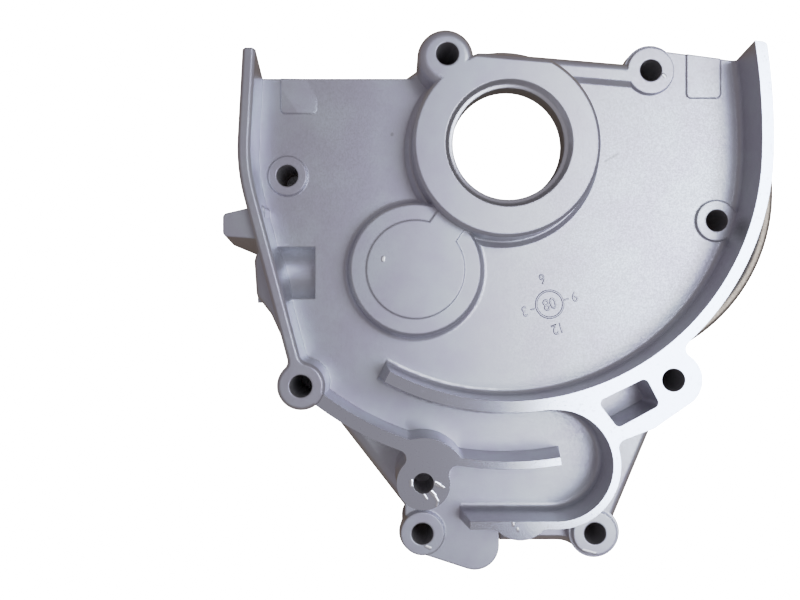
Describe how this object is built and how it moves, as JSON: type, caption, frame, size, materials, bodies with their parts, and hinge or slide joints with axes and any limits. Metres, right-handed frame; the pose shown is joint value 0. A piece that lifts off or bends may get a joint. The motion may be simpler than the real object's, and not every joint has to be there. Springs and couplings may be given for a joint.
{
  "type": "gearbox cover",
  "caption": "Die-cast aluminium gearbox cover of a scooter engine: plate with a curved milled wall, channel ridges, shaft hub, bearing seats and bolt bosses.",
  "frame": {"origin": "axis of the left bolt hole on the gasket face", "axes": "+Z is the outward normal of the clutch side, +X is right and +Y is up when the clutch side is seen from outside"},
  "size_m": [0.1828, 0.1824, 0.039],
  "materials": {
    "casting": "shot-blasted cast surface with milled faces"
  },
  "bodies": {
    "root": {"cover_casting": "casting"}
  },
  "joints": []
}
